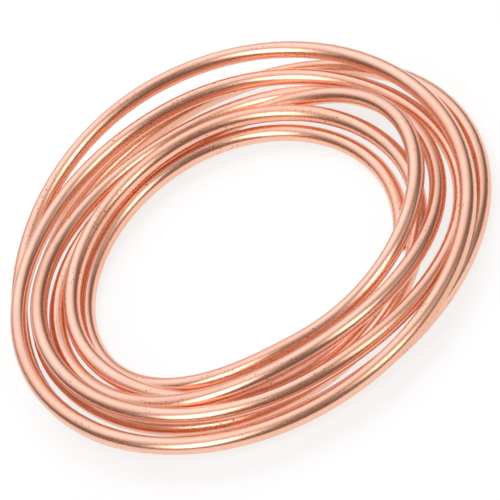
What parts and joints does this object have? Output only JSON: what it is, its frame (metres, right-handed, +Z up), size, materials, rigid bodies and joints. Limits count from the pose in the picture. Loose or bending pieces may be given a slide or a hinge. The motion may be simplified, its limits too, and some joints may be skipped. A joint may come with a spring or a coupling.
{
  "type": "copper tube coil",
  "caption": "Loose coil of bare soft copper tube: one continuous hollow length, its turns crossing, lying flat.",
  "frame": {"origin": "middle of the coil's outline, on the floor that it lies on", "axes": "+Z up through the eye of the coil, +X to the coil's right side, +Y to its far side"},
  "size_m": [0.1792, 0.1842, 0.0211],
  "materials": {
    "copper": "satin"
  },
  "bodies": {
    "root": {"tube": "copper"}
  },
  "joints": []
}
